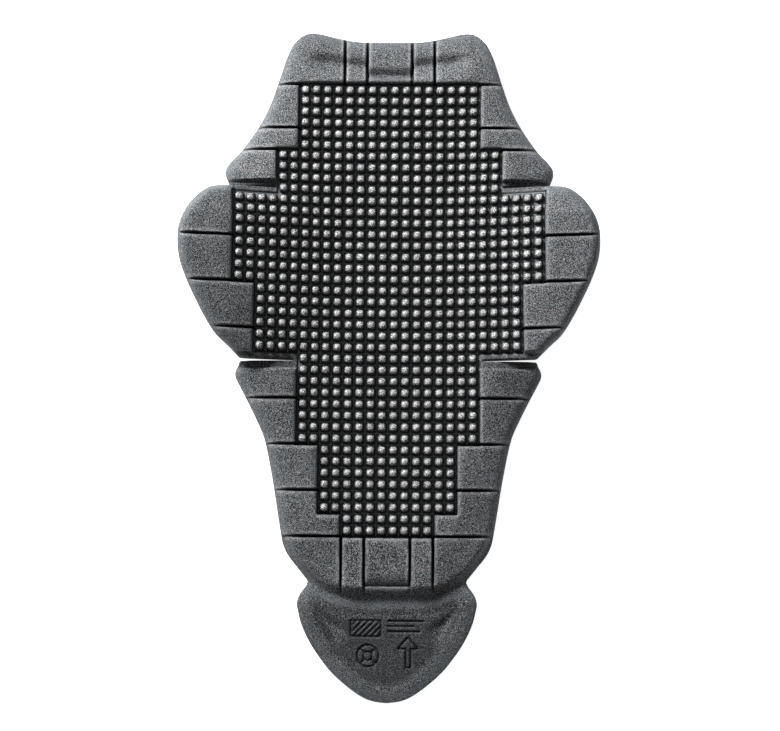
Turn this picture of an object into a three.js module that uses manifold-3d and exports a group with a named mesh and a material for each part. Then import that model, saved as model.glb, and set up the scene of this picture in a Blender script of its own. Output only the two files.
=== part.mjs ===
// Back protector insert: one moulded foam pad, in millimetres, +Z up.
// It lies on its smooth back with the knobs up, and +Y is the neck end.
// The origin is under the middle of its length, on the flat strip that follows the spine.
// Everything is laid out flat first, then bent: the wings and shoulders curve up from the spine.
import * as THREE from 'three';
import { mergeVertices } from 'three/addons/utils/BufferGeometryUtils.js';
import { ConvexGeometry } from 'three/addons/geometries/ConvexGeometry.js';
import Module from 'manifold-3d';

const wasm = await Module();
wasm.setup();

// Knob field: square knobs on one lattice, in steps of rows from the neck end down
const knobPitch = 8;
const knobGap = 2.4;
const knobHeight = 5.5;
const fieldSteps = [
  { rows: 6, columns: 16 },
  { rows: 4, columns: 20 },
  { rows: 8, columns: 28 },
  { rows: 6, columns: 24 },
  { rows: 8, columns: 16 },
  { rows: 6, columns: 12 },
  { rows: 2, columns: 8 },
];

// Thicknesses
const padThickness = 16;
const edgeThickness = 5;
const rimBand = 7;
const borderFall = 6;
const wingFall = 2;
const borderReach = 28;
const rimSegments = 2;

// Smooth border blocks round the field, and the grooves between them
const bodyBorder = 26;
const wingBorder = 40;
const blockGrooveWidth = 2;
const blockGrooveDepth = 4.5;
const blockRows = 4;
const endGrooveColumns = [2, 4];

// Slits that free the wings, each in a sunken web
const slitWidth = 1;
const slitStrip = 0.65 * knobPitch;
const slitEndSegments = 4;
const upperSlitInner = 82.4;
const lowerSlitInner = 68;
const webHeight = 11.5;
const upperWebWidth = 1.16 * knobPitch;
const lowerWebWidth = 1.42 * knobPitch;

// Lip at the neck end
const lipLength = 39.3;
const lipHalfWidth = 81;
const lipHornShare = 0.75;
const lipRampStart = 3;
const lipCentreValley = 8.5;
const lipSideValley = 15;
const lipCornerValley = 20;
const lipValleyHeight = 8.2;
const lipBrinkHeight = 11.9;
const lipBrinkRun = 6;
const lipEdgeHeight = 8.5;
const lipCutSteps = 4;

// Smooth panel below the field, the waist and the tail flap
const waistDrop = 31;
const waistHalfWidth = 55.2;
const panelCornerDrop = 13.6;
const panelCornerHalfWidth = 69.3;
const panelDiagonalShare = 0.5;
const panelLength = 34.4;
const panelStepRun = 10;
const panelStepSweep = 34;
const panelStepPower = 3.8;
const panelCutSteps = 14;
const tailLength = 84;
const tailHalfWidth = 63;
const tailThickness = 9;
const tailTipThickness = 6.5;
const tailPitDepth = 3;

// Bend
const spineFlat = 24;
const bodyLift = 16.4;
const wingLift = 5.9;
const bendPull = 4.2;
const wingTilt = 0.25;
const wingTiltStart = 100;
const wingTiltEase = 8;
const levelEase = 10;

// Half-width outline below the lip: line is a lattice line of the field, columns the knobs
// out from the spine, and border a share of the border's width beyond them
const collarOutline = [
  { line: 0, columns: 8, border: 0.65 },
  { line: 2, columns: 8, border: 0.87 },
  { line: 4, columns: 8, border: 1.19 },
  { line: 6, columns: 8, border: 1.62 },
  { line: 7, columns: 8, border: 1.91 },
  { line: 7.6, columns: 8, border: 2.045 },
  { line: 8.2, columns: 8, border: 2.075 },
  { line: 8.8, columns: 8, border: 2.02 },
];
const wingOutline = [
  { line: 9.6, columns: 14, border: 0.42 },
  { line: 10.4, columns: 14, border: 0.65 },
  { line: 11.5, columns: 14, border: 0.84 },
  { line: 12.5, columns: 14, border: 0.945 },
  { line: 13.6, columns: 14, border: 1 },
  { line: 15, columns: 14, border: 1 },
  { line: 16.3, columns: 14, border: 0.955 },
  { line: 17.8, columns: 14, border: 0.845 },
  { line: 19.4, columns: 14, border: 0.69 },
  { line: 21, columns: 14, border: 0.515 },
  { line: 22.5, columns: 14, border: 0.31 },
  { line: 23.5, columns: 14, border: 0.09 },
];
const bodyOutline = [
  { line: 25.1, columns: 8, border: 1.645 },
  { line: 25.6, columns: 8, border: 1.72 },
  { line: 26.1, columns: 8, border: 1.725 },
  { line: 26.7, columns: 8, border: 1.64 },
  { line: 28.2, columns: 8, border: 1.39 },
  { line: 29.8, columns: 8, border: 1.14 },
  { line: 31.3, columns: 8, border: 0.93 },
  { line: 32.9, columns: 8, border: 0.8 },
  { line: 35.5, columns: 8, border: 0.64 },
  { line: 38.1, columns: 8, border: 0.505 },
  { line: 40.2, columns: 8, border: 0.39 },
  { line: 40.9, columns: 8, border: 0.33 },
];

// Corners of the outline where the slits open: columns and border as above
const slitMouths = {
  upper: { columns: 8, border: 1.96 },
  wing: { columns: 14, border: 0.17 },
  lower: { columns: 8, border: 1.63 },
};

// Lip outline from the middle of the top edge: shares of its half-width and length
const lipOutline = [
  { width: 0, length: 0.843 },
  { width: 0.27, length: 0.853 },
  { width: 0.47, length: 0.92 },
  { width: 0.63, length: 0.99 },
  { width: 0.735, length: 0.985 },
  { width: 0.815, length: 0.88 },
  { width: 0.87, length: 0.74 },
  { width: 0.92, length: 0.5 },
  { width: 0.963, length: 0.23 },
];

// Tail outline from the waist to the tip: shares of its half-width and length
const tailOutline = [
  { width: 0.905, length: 0.045 },
  { width: 0.956, length: 0.094 },
  { width: 0.989, length: 0.144 },
  { width: 1, length: 0.193 },
  { width: 0.987, length: 0.242 },
  { width: 0.954, length: 0.34 },
  { width: 0.898, length: 0.439 },
  { width: 0.825, length: 0.538 },
  { width: 0.733, length: 0.636 },
  { width: 0.627, length: 0.735 },
  { width: 0.488, length: 0.832 },
  { width: 0.312, length: 0.931 },
  { width: 0.165, length: 0.982 },
  { width: 0, length: 1 },
];

// Triangular pit on each side of the tail: shares of the tail's half-width and length
const tailPit = [
  { width: 0.8, length: 0.215 },
  { width: 0.45, length: 0.39 },
  { width: 0.56, length: 0.555 },
];

// Lift of the sides along the pad: place as a share of the field's length below its top, and
// level the distance from the spine where the border stops rising, wings apart
const liftTable = [
  { place: -0.12, share: 0.4, level: 70 },
  { place: 0, share: 0.48, level: 70 },
  { place: 0.19, share: 0.71, level: 82 },
  { place: 0.3, share: 1, level: 86 },
  { place: 0.5, share: 0.93, level: 70 },
  { place: 0.69, share: 0.73, level: 68 },
  { place: 1, share: 0.5, level: 60 },
  { place: 1.36, share: 0.2, level: 60 },
];

// Steps of the mesh along the outline and over the back
const outlineStep = 8.5;
const backColumn = 16;
const backRow = 32;

// How far cuts reach past the pad, how deep the blank is before its back is formed,
// and how near two vertices are one
const cutPast = 6;
const blankDepth = 40;
const mergeDistance = 0.001;

// Places on the lattice
const lineY = (line) => -line * knobPitch;
const rowColumns = fieldSteps.flatMap((step) => Array(step.rows).fill(step.columns / 2));
const rowCount = rowColumns.length;
const fieldBottom = lineY(rowCount);
const stepLine = (count) => fieldSteps.slice(0, count).reduce((sum, step) => sum + step.rows, 0);
const wingTopLine = stepLine(2);
const wingBottomLine = stepLine(4);
const wingColumns = fieldSteps[2].columns / 2;
const upperSlitY = lineY(wingTopLine) + slitStrip;
const lowerSlitY = lineY(wingBottomLine) - slitStrip;
const waistY = fieldBottom - waistDrop;
const tipY = waistY - tailLength;
const panelStepFoot = fieldBottom - panelLength - panelStepRun;
const grooveFloor = padThickness - knobHeight;
const halfGap = knobGap / 2;

const smoothStep = (t) => THREE.MathUtils.smoothstep(t, 0, 1);

function tableValue(table, key, at, value) {
  const next = table.findIndex((row) => row[key] > at);
  if (next === 0) {
    return table[0][value];
  }
  if (next < 0) {
    return table[table.length - 1][value];
  }
  const from = table[next - 1];
  const to = table[next];
  return THREE.MathUtils.mapLinear(at, from[key], to[key], from[value], to[value]);
}

function smoothPath(points) {
  const curve = new THREE.SplineCurve(points);
  return curve.getSpacedPoints(Math.ceil(curve.getLength() / outlineStep));
}

function latticePoint(row, border) {
  return new THREE.Vector2(row.columns * knobPitch + row.border * border, lineY(row.line ?? 0));
}

function latticePoints(table, border) {
  return table.map((row) => latticePoint(row, border));
}

// One side of the outline, from the middle of the top edge to the tip
function sideOutline() {
  const lip = lipOutline.map((row) => new THREE.Vector2(row.width * lipHalfWidth, row.length * lipLength));
  const upperMouth = latticePoint(slitMouths.upper, bodyBorder).setY(upperSlitY);
  const lowerMouth = latticePoint(slitMouths.lower, bodyBorder).setY(lowerSlitY);
  const wingStart = latticePoint(slitMouths.wing, wingBorder).setY(upperSlitY);
  const waist = new THREE.Vector2(waistHalfWidth, waistY);
  const corner = new THREE.Vector2(panelCornerHalfWidth, fieldBottom - panelCornerDrop);
  const panelEnd = [corner, corner.clone().lerp(waist, panelDiagonalShare), waist];
  const tail = tailOutline.map(
    (row) => new THREE.Vector2(row.width * tailHalfWidth, waistY - row.length * tailLength),
  );
  return [
    ...smoothPath([...lip, ...latticePoints(collarOutline, bodyBorder), upperMouth]),
    ...smoothPath([wingStart, ...latticePoints(wingOutline, wingBorder), lowerMouth]),
    ...smoothPath([lowerMouth, ...latticePoints(bodyOutline, bodyBorder), ...panelEnd]).slice(1),
    ...smoothPath([waist, ...tail]).slice(1),
  ];
}

const rightSide = sideOutline();
const leftSide = rightSide.slice(1, -1).reverse().map((point) => new THREE.Vector2(-point.x, point.y));
const outline = [...rightSide, ...leftSide];
const outlineBox = new THREE.Box2().setFromPoints(outline);
const reachX = outlineBox.max.x + cutPast;

function outlineHalfWidth(y) {
  const pairs = rightSide.slice(1).map((point, i) => [rightSide[i], point]);
  const across = pairs.filter(([a, b]) => (a.y - y) * (b.y - y) <= 0 && a.y !== b.y);
  return Math.max(...across.map(([a, b]) => THREE.MathUtils.mapLinear(y, a.y, b.y, a.x, b.x)));
}

function outlineDistance(x, y) {
  const point = new THREE.Vector3(x, y, 0);
  const segment = new THREE.Line3();
  const nearest = new THREE.Vector3();
  const distances = outline.map((from, i) => {
    const to = outline[(i + 1) % outline.length];
    segment.start.set(from.x, from.y, 0);
    segment.end.set(to.x, to.y, 0);
    return segment.closestPointToPoint(point, true, nearest).distanceTo(point);
  });
  return Math.min(...distances);
}

const onWing = (y) => y < upperSlitY && y > lowerSlitY;

// Bend: how far a place of the flat layout rises and is drawn in. The wings rise on past the
// field, and the other borders level out beside it.
function bend(x, y) {
  const side = Math.abs(x);
  const reach = wingColumns * knobPitch;
  const share = tableValue(liftTable, 'place', y / fieldBottom, 'share');
  const past = onWing(y) ? 0 : Math.max(0, side - tableValue(liftTable, 'place', y / fieldBottom, 'level'));
  const held = side - past + levelEase * (1 - Math.exp(-past / levelEase));
  const rise = smoothStep((held - spineFlat) / (reach - spineFlat));
  const lift = bodyLift * share * rise;
  const pull = bendPull * share * share * rise;
  if (!onWing(y)) {
    return { x: x - Math.sign(x) * pull, lift };
  }
  const along = THREE.MathUtils.inverseLerp(upperSlitY, lowerSlitY, y);
  const slitInner = THREE.MathUtils.lerp(upperSlitInner, lowerSlitInner, along);
  const wingRise = wingLift * smoothStep((side - slitInner) / (reach + knobPitch - slitInner));
  const beyond = Math.max(0, side - wingTiltStart);
  const tilted = (wingTilt * beyond * beyond) / (beyond + wingTiltEase);
  return { x: x - Math.sign(x) * (pull + (tilted * wingTilt) / 2), lift: lift + wingRise + tilted };
}

function asSolid(geometry) {
  const plain = new THREE.BufferGeometry();
  plain.setAttribute('position', geometry.getAttribute('position'));
  if (geometry.index) {
    plain.setIndex(geometry.index);
  }
  const merged = mergeVertices(plain, mergeDistance);
  return new wasm.Manifold(
    new wasm.Mesh({
      numProp: 3,
      vertProperties: new Float32Array(merged.getAttribute('position').array),
      triVerts: new Uint32Array(merged.index.array),
    }),
  );
}

function asGeometry(solid) {
  const mesh = solid.getMesh();
  const geometry = new THREE.BufferGeometry();
  geometry.setAttribute('position', new THREE.Float32BufferAttribute(mesh.vertProperties, 3));
  geometry.setIndex(Array.from(mesh.triVerts));
  return geometry;
}

function moveVertices(geometry, place) {
  const position = geometry.getAttribute('position');
  for (let i = 0; i < position.count; i += 1) {
    const moved = place(position.getX(i), position.getY(i), position.getZ(i));
    position.setXYZ(i, moved.x, moved.y, moved.z);
  }
  return geometry;
}

// Pad blank: the outline with its rim rolled down to a thin edge
function padBlank() {
  const blank = new THREE.ExtrudeGeometry(new THREE.Shape(outline), {
    depth: blankDepth + edgeThickness,
    bevelThickness: padThickness - edgeThickness,
    bevelSize: rimBand,
    bevelOffset: -rimBand,
    bevelSegments: rimSegments,
  });
  blank.translate(0, 0, -blankDepth);
  return asSolid(blank);
}

// V groove between two places: it narrows to a line at its floor, and its ends slope up too
function groove(from, to, width) {
  const along = new THREE.Vector3(to.x - from.x, to.y - from.y, 0).normalize();
  const across = new THREE.Vector3(-along.y, along.x, 0).multiplyScalar(width / 2);
  const ends = [
    { floor: new THREE.Vector3(from.x, from.y, from.z), out: along.clone().negate() },
    { floor: new THREE.Vector3(to.x, to.y, to.z), out: along },
  ];
  const points = ends.flatMap(({ floor, out }) => {
    const grow = (padThickness + cutPast - floor.z) / knobHeight;
    const top = floor.clone().addScaledVector(out, (width / 2) * grow).setZ(padThickness + cutPast);
    const side = across.clone().multiplyScalar(grow);
    return [floor, top.clone().add(side), top.clone().sub(side)];
  });
  return asSolid(new ConvexGeometry(points));
}

// Field cutter: all that is above the knobs and their grooves. Each knob's cell has four walls
// that lean in from the lattice lines, and the outermost walls lean out to the border blocks.
function fieldCutter() {
  const has = (column, row) => Number(column >= -rowColumns[row] && column < rowColumns[row]);
  const capHeight = padThickness + cutPast / 2;
  const lidHeight = padThickness + cutPast;
  const lean = (z) => (halfGap * (z - grooveFloor)) / knobHeight;
  const floor = (column, line) => new THREE.Vector3(column * knobPitch, lineY(line), grooveFloor);
  const lid = (column, line) => {
    const [upperLeft, upperRight] = [has(column - 1, line - 1), has(column, line - 1)];
    const [lowerLeft, lowerRight] = [has(column - 1, line), has(column, line)];
    const toRight = Math.sign(upperLeft + lowerLeft - upperRight - lowerRight);
    const toTop = Math.sign(lowerLeft + lowerRight - upperLeft - upperRight);
    const shift = new THREE.Vector3(toRight, toTop, 0).multiplyScalar(lean(lidHeight));
    return floor(column, line).add(shift).setZ(lidHeight);
  };
  const points = [];
  const quad = (a, b, c, d) => points.push(a, b, c, a, c, d);
  rowColumns.forEach((columns, row) => {
    for (let column = -columns; column < columns; column += 1) {
      const around = [[0, 0], [1, 0], [1, 1], [0, 1]];
      const floors = around.map(([x, y]) => floor(column + x, row + y));
      const lids = around.map(([x, y]) => lid(column + x, row + y));
      const middle = floor(column + 0.5, row + 0.5);
      const leanShare = lean(capHeight) / (knobPitch / 2);
      const caps = floors.map((point) => point.clone().lerp(middle, leanShare).setZ(capHeight));
      const beside = [[0, -1], [1, 0], [0, 1], [-1, 0]];
      const open = beside.map(([x, y]) => !has(column + x, row + y));
      quad(...caps);
      quad(lids[0], lids[3], lids[2], lids[1]);
      open.forEach((isOpen, i) => {
        const j = (i + 1) % 4;
        quad(floors[i], floors[j], caps[j], caps[i]);
        if (isOpen) {
          quad(floors[j], floors[i], lids[i], lids[j]);
        }
      });
    }
  });
  return asSolid(new THREE.BufferGeometry().setFromPoints(points));
}

// Grooves that part the border blocks, on both sides of the spine
const wingBlockLines = [stepLine(2) + blockRows, stepLine(3), stepLine(3) + blockRows];
const collarBlockLines = [0, blockRows, stepLine(1)];
const lowerBlockLines = [stepLine(5) - blockRows, stepLine(5), stepLine(5) + blockRows, rowCount];

function borderGroove(y, columns, ending) {
  const start = columns * knobPitch;
  const end = outlineHalfWidth(y) - ending;
  const shallow = ending > 0 ? padThickness : padThickness - blockGrooveDepth;
  const floor = padThickness - blockGrooveDepth;
  return [-1, 1].map((side) =>
    groove({ x: side * start, y, z: floor }, { x: side * end, y, z: shallow }, blockGrooveWidth),
  );
}

function columnsAt(line) {
  return Math.max(rowColumns[Math.ceil(line) - 1] ?? 0, rowColumns[Math.floor(line)] ?? 0);
}

function borderGrooves() {
  const wingEnds = rimBand - blockGrooveWidth;
  return [
    ...wingBlockLines.flatMap((line) => borderGroove(lineY(line), columnsAt(line), wingEnds)),
    ...[...collarBlockLines, ...lowerBlockLines].flatMap((line) =>
      borderGroove(lineY(line), columnsAt(line), -cutPast),
    ),
  ];
}

// Upright grooves of the lip and of the panel below the field
function endGrooves() {
  const z = padThickness - blockGrooveDepth;
  const lipEnd = { y: lipLength + cutPast, z: z - blockGrooveDepth / 2 };
  const panelEnd = { y: fieldBottom - panelLength - panelStepRun / 2, z };
  const tile = { x: endGrooveColumns[0] * knobPitch, y: fieldBottom - panelLength, z };
  const upright = endGrooveColumns.flatMap((column) =>
    [-column * knobPitch, column * knobPitch].flatMap((x) => [
      groove({ x, y: 0, z }, { x, ...lipEnd }, blockGrooveWidth),
      groove({ x, y: fieldBottom, z }, { x, ...panelEnd }, blockGrooveWidth),
    ]),
  );
  return [...upright, groove({ ...tile, x: -tile.x }, tile, blockGrooveWidth)];
}

// Webs: sunken strips on both sides of the slits, with walls that lean like the knobs'
function web(fromX, toX, fromY, toY) {
  const top = padThickness + cutPast;
  const grow = (halfGap * (top - webHeight)) / knobHeight;
  return [-1, 1].map((side) => {
    const points = [[webHeight, 0], [top, grow]].flatMap(([z, out]) =>
      [fromX - out, toX + out].flatMap((x) =>
        [fromY - out, toY + out].map((y) => new THREE.Vector3(side * x, y, z)),
      ),
    );
    return asSolid(new ConvexGeometry(points));
  });
}

function webs() {
  const upperStart = (fieldSteps[1].columns / 2) * knobPitch;
  const lowerStart = (fieldSteps[4].columns / 2) * knobPitch;
  const wingField = wingColumns * knobPitch;
  const upperTop = lineY(wingTopLine) + upperWebWidth;
  const lowerBottom = lineY(wingBottomLine) - lowerWebWidth;
  return [
    ...web(upperStart, wingField, lineY(wingTopLine), upperTop),
    ...web(upperStart, reachX, upperSlitY, upperTop),
    ...web(lowerStart, reachX, lowerBottom, lineY(wingBottomLine)),
  ];
}

// Slits: a narrow cut right through, with a rounded inner end
function slits() {
  const places = [
    { y: upperSlitY, inner: upperSlitInner },
    { y: lowerSlitY, inner: lowerSlitInner },
  ];
  return places.flatMap(({ y, inner }) =>
    [-1, 1].map((side) => {
      const slot = new THREE.Shape();
      slot.moveTo(reachX, slitWidth / 2);
      slot.lineTo(inner, slitWidth / 2);
      slot.absarc(inner, 0, slitWidth / 2, Math.PI / 2, -Math.PI / 2, false);
      slot.lineTo(reachX, -slitWidth / 2);
      const through = { depth: 3 * blankDepth, bevelEnabled: false, curveSegments: slitEndSegments };
      const cut = new THREE.ExtrudeGeometry(slot, through);
      cut.translate(0, 0, -2 * blankDepth);
      cut.rotateZ(side < 0 ? Math.PI : 0);
      cut.translate(0, y, 0);
      return asSolid(cut);
    }),
  );
}

// Cut with one profile, given in (y, z), along x; sweep moves its rows in y
function profileCut(profile, fromX, toX, steps, sweep) {
  const shape = new THREE.Shape(profile.map(([y, z]) => new THREE.Vector2(y, z)));
  const cut = new THREE.ExtrudeGeometry(shape, { depth: toX - fromX, steps, bevelEnabled: false });
  cut.applyMatrix4(new THREE.Matrix4().set(0, 0, 1, fromX, 1, 0, 0, 0, 0, 1, 0, 0, 0, 0, 0, 1));
  return asSolid(moveVertices(cut, (x, y, z) => ({ x, y: y + sweep(x, y), z })));
}

// Lip: a ramp down from the field, a valley, a small brink and a fall to the top edge
function lipCuts() {
  const top = padThickness + cutPast;
  const corner = lipHornShare * lipHalfWidth;
  const cutPart = (fromX, toX, valley, sweep) => {
    const ramp = (valley - lipRampStart) / (padThickness - lipValleyHeight);
    const profile = [
      [lipRampStart - cutPast * ramp, top],
      [valley, lipValleyHeight],
      [valley + lipBrinkRun, lipBrinkHeight],
      [lipLength + cutPast, lipEdgeHeight],
      [lipLength + cutPast, top],
    ];
    return profileCut(profile, fromX, toX, lipCutSteps, (x, y) => (y > 0 && y < lipLength ? sweep(x) : 0));
  };
  const tile = endGrooveColumns[0] * knobPitch;
  const reach = lipHalfWidth + cutPast;
  const rise = (x) => ((Math.abs(x) - tile) / (corner - tile)) * (lipCornerValley - lipSideValley);
  return [
    cutPart(-tile, tile, lipCentreValley, () => 0),
    cutPart(tile, reach, lipSideValley, rise),
    cutPart(-reach, -tile, lipSideValley, rise),
  ];
}

// Tail: the thick panel steps down along an arc to the thin flap
function tailCut() {
  const run = panelStepRun / (padThickness - tailThickness);
  const profile = [
    [panelStepFoot, tailThickness],
    [panelStepFoot + (padThickness + cutPast - tailThickness) * run, padThickness + cutPast],
    [tipY - panelStepSweep - cutPast, padThickness + cutPast],
    [tipY - panelStepSweep - cutPast, tailTipThickness],
    [tipY, tailTipThickness],
  ];
  const reach = panelCornerHalfWidth + cutPast;
  const bulge = (x) => panelStepSweep * Math.abs(x / panelCornerHalfWidth) ** panelStepPower;
  const sweep = (x, y) => (y < (panelStepFoot + tipY) / 2 ? 0 : bulge(x));
  return profileCut(profile, -reach, reach, panelCutSteps, sweep);
}

function tailPits() {
  return [-1, 1].map((side) => {
    const corners = tailPit.map(
      (row) => new THREE.Vector3(side * row.width * tailHalfWidth, waistY - row.length * tailLength, 0),
    );
    const middle = new THREE.Vector3();
    corners.forEach((corner) => middle.addScaledVector(corner, 1 / corners.length));
    const top = THREE.MathUtils.mapLinear(middle.y, panelStepFoot, tipY, tailThickness, tailTipThickness);
    const above = corners.map((corner) => corner.clone().lerp(middle, -1).setZ(top + tailPitDepth));
    return asSolid(new ConvexGeometry([...above, middle.setZ(top - tailPitDepth)]));
  });
}

// Back form: what the smooth underside is shaped on, a grid that follows the bend
function backForm() {
  const columns = Math.ceil(reachX / backColumn);
  const xs = Array.from({ length: 2 * columns + 1 }, (_, i) => (i - columns) * backColumn);
  const slitEdges = [upperSlitY, lowerSlitY].flatMap((y) => [y + slitWidth / 2, y - slitWidth / 2]);
  const evenRows = [];
  for (let y = outlineBox.min.y - cutPast; y < outlineBox.max.y + cutPast + backRow; y += backRow) {
    if (slitEdges.every((edge) => Math.abs(edge - y) > backRow / 4)) {
      evenRows.push(y);
    }
  }
  const ys = [...evenRows, ...slitEdges].sort((a, b) => a - b);
  const grid = new THREE.BoxGeometry(xs.length - 1, ys.length - 1, 1, xs.length - 1, ys.length - 1, 1);
  grid.translate((xs.length - 1) / 2, (ys.length - 1) / 2, 0.5);
  return asSolid(
    moveVertices(grid, (i, j, k) => {
      const x = xs[Math.round(i)];
      const y = ys[Math.round(j)];
      const bent = bend(x, y);
      return { x: bent.x, y, z: k > 0.5 ? bent.lift : -2 * blankDepth };
    }),
  );
}

function protectorPad() {
  const cuts = [
    fieldCutter(),
    ...borderGrooves(),
    ...endGrooves(),
    ...webs(),
    ...slits(),
    ...lipCuts(),
    tailCut(),
    ...tailPits(),
  ];
  const flat = padBlank().subtract(cuts.reduce((all, cut) => all.add(cut)));
  const bent = moveVertices(asGeometry(flat), (x, y, z) => {
    const place = bend(x, y);
    if (z < 0) {
      return { x: place.x, y, z };
    }
    const inward = Math.min(1, outlineDistance(x, y) / borderReach);
    const raised = Math.max(0, z - edgeThickness) / (padThickness - edgeThickness);
    const fall = (onWing(y) ? wingFall : borderFall) * (1 - inward) * raised;
    return { x: place.x, y, z: z - fall + place.lift };
  });
  const formed = asSolid(bent).subtract(backForm());
  return asGeometry(formed).translate(0, -(outlineBox.max.y + outlineBox.min.y) / 2, 0);
}

const foam = new THREE.MeshStandardMaterial({ color: 0x37383a, roughness: 0.8, metalness: 0 });

const group = new THREE.Group();
const pad = new THREE.Mesh(protectorPad(), foam);
pad.name = 'protector_pad';
group.add(pad);

export default group;
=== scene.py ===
import math

import bmesh
import bpy
import numpy as np
from mathutils import Matrix, Vector
from mathutils.geometry import delaunay_2d_cdt


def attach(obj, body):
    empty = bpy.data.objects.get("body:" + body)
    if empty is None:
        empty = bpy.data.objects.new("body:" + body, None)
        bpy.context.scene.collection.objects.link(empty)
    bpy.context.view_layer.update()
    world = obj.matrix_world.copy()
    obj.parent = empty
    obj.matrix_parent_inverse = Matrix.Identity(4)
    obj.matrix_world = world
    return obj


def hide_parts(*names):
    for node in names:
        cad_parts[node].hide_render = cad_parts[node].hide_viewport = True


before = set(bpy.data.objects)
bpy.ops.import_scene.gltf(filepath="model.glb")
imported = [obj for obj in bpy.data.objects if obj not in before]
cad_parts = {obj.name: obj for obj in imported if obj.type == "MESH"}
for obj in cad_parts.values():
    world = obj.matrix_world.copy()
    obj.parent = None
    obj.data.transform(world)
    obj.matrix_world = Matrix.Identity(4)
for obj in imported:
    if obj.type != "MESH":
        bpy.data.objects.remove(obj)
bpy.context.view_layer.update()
bpy.ops.object.select_all(action="DESELECT")
print("stage: frame loaded")

mm = 0.001  # the pad's sizes below are millimetres, Blender's own unit is the metre

# The pad is laid out flat first: x out from the spine, y up from the top of the knob field,
# z up from the smooth back. It is shaped there, mirrored, and bent at the end.
pad = {
    "pitch": 8.0,
    # rows, knobs out from the spine
    "steps": [(6, 8), (4, 10), (8, 14), (6, 12), (8, 8), (6, 6), (2, 4)],
    "height": 16.0,
    "grooveFloor": 10.5,
    "edgeHeight": 5.0,
    "rimBand": 7.0,
    "fall": 6.0,
    "wingFall": 2.0,
    "fallReach": 28.0,
    "bodyBorder": 26.0,
    "wingBorder": 40.0,
    "slitWidth": 1.0,
    # y, inner end, mouth above, mouth below
    "slits": [(-74.8, 82.4, 114.96, 118.8), (-197.2, 68.0, 106.4, 106.4)],
    "lipLength": 39.3,
    "lipHalfWidth": 81.0,
    "waist": (55.2, -351.0),
    "panelCorner": (69.3, -333.6),
    "tailLength": 84.0,
    "tailHalfWidth": 63.0,
    "smoothAngle": 75,  # degrees; sharper edges stay crisp
}

# Where the mesh has its lines: distances from a lattice line (floor, foot, shoulder, top edge,
# middle and back), places and spacing elsewhere, and how close vertices count as one
meshLines = {
    "lattice": [0, 0.8, 1.3, 2.2, 4, 5.8, 6.7, 7.2],
    "wing": 2.0,
    "lip": 1.5,
    "lipStart": 3,
    "tail": 2.0,
    "slitEdge": 1.5,
    "slitTurn": 7,  # points round a slit's inner end
    "grooveSides": [-1.3, -0.8, 0, 0.8, 1.3],
    "closest": 0.3,  # between an extra line and its neighbours
    "back": 11.0,
    "outline": 1.6,
    "curveStep": 0.05,  # share of the way from one outline point to the next
    "spineReach": 1e-4,
    "weld": 0.004,
    "mirrorWeld": 0.001,
}

rowColumns = [columns for rows, columns in pad["steps"] for row in range(rows)]
stepColumns = [columns for rows, columns in pad["steps"]]
stepLines = np.cumsum([0] + [rows for rows, columns in pad["steps"]])
fieldWidth = max(stepColumns) * pad["pitch"]
fieldBottom = -len(rowColumns) * pad["pitch"]
tipY = pad["waist"][1] - pad["tailLength"]
farAway = 1e9  # where a search for the nearest place starts
hair = 0.01  # how far past a lattice line a place still counts as on it


def lineY(line):
    return -line * pad["pitch"]


def smooth(value):
    t = np.clip(value, 0, 1)
    return t * t * (3 - 2 * t)


def bell(value, middle, width):
    return np.exp(-((value - middle) / width) ** 2)


# Outline from the neck end's middle down to the tail's tip. Lip and tail have shares of their half
# width and length; collar, wing and body have lattice line, knobs out, share of the border.
outlineTables = {
    "lip": [(0, 0.843), (0.27, 0.853), (0.47, 0.92), (0.63, 0.99), (0.735, 0.985),
            (0.815, 0.88), (0.87, 0.74), (0.92, 0.5), (0.963, 0.23)],
    "collar": [(0, 8, 0.65), (2, 8, 0.87), (4, 8, 1.19), (6, 8, 1.62), (7, 8, 1.91),
               (7.6, 8, 2.045), (8.2, 8, 2.075), (8.8, 8, 2.02)],
    "wing": [(9.6, 14, 0.42), (10.4, 14, 0.65), (11.5, 14, 0.84), (12.5, 14, 0.945), (13.6, 14, 1),
             (15, 14, 1), (16.3, 14, 0.955), (17.8, 14, 0.845), (19.4, 14, 0.69), (21, 14, 0.515),
             (22.5, 14, 0.31), (23.5, 14, 0.09)],
    "body": [(25.1, 8, 1.645), (25.6, 8, 1.72), (26.1, 8, 1.725), (26.7, 8, 1.64), (28.2, 8, 1.39),
             (29.8, 8, 1.14), (31.3, 8, 0.93), (32.9, 8, 0.8), (35.5, 8, 0.64), (38.1, 8, 0.505),
             (40.2, 8, 0.39), (40.9, 8, 0.33)],
    "tail": [(0.905, 0.045), (0.956, 0.094), (0.989, 0.144), (1, 0.193), (0.987, 0.242),
             (0.954, 0.34), (0.898, 0.439), (0.825, 0.538), (0.733, 0.636), (0.627, 0.735),
             (0.488, 0.832), (0.312, 0.931), (0.165, 0.982), (0, 1)],
}


def curveThrough(points):
    # one smooth pencil line through the points, in even short steps
    p = np.array([points[0]] + list(points) + [points[-1]], float)
    fine = []
    for a, b, c, d in zip(p, p[1:], p[2:], p[3:]):
        for t in np.arange(0, 1, meshLines["curveStep"]):
            fine.append(0.5 * (2 * b + (c - a) * t + (2 * a - 5 * b + 4 * c - d) * t**2
                               + (3 * b - a - 3 * c + d) * t**3))
    fine = np.array(fine + [p[-1]])
    along = np.concatenate([[0], np.cumsum(np.linalg.norm(np.diff(fine, axis=0), axis=1))])
    at = np.linspace(0, along[-1], int(along[-1] / meshLines["outline"]) + 2)
    return [(np.interp(s, along, fine[:, 0]), np.interp(s, along, fine[:, 1])) for s in at]


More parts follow.
